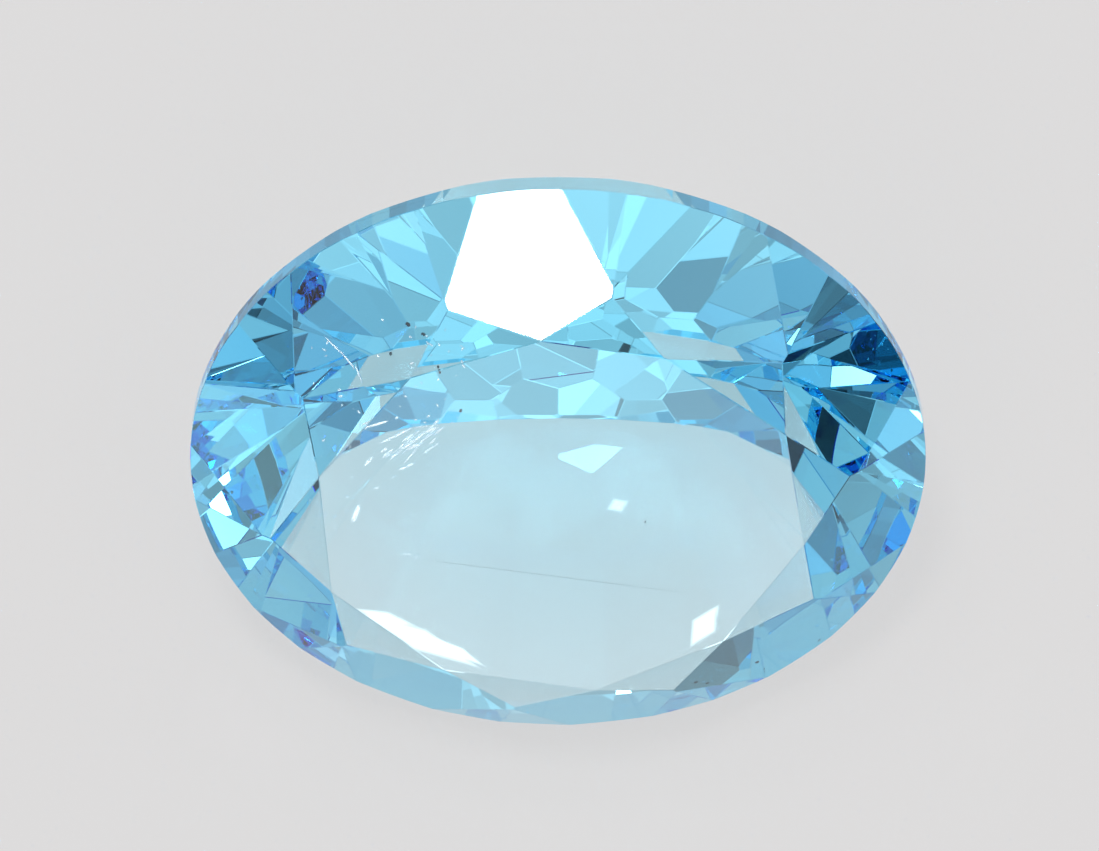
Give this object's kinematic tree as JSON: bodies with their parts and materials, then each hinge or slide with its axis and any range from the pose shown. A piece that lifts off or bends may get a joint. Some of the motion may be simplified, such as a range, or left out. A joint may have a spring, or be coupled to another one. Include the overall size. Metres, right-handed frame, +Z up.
{
  "type": "faceted gemstone",
  "caption": "Loose sky-blue topaz, oval brilliant-style cut with a wide flat table and a keeled pavilion, lying tilted on one pavilion facet.",
  "frame": {"origin": "centre of the stone's bounding box at its lowest plane, the rest facet", "axes": "+X along the long axis of the oval, +Y towards the raised side of the girdle, +Z up; the table leans towards -Y"},
  "size_m": [0.012, 0.0084, 0.0062],
  "materials": {
    "topaz": "polished"
  },
  "bodies": {
    "root": {"topaz": "topaz"}
  },
  "joints": []
}
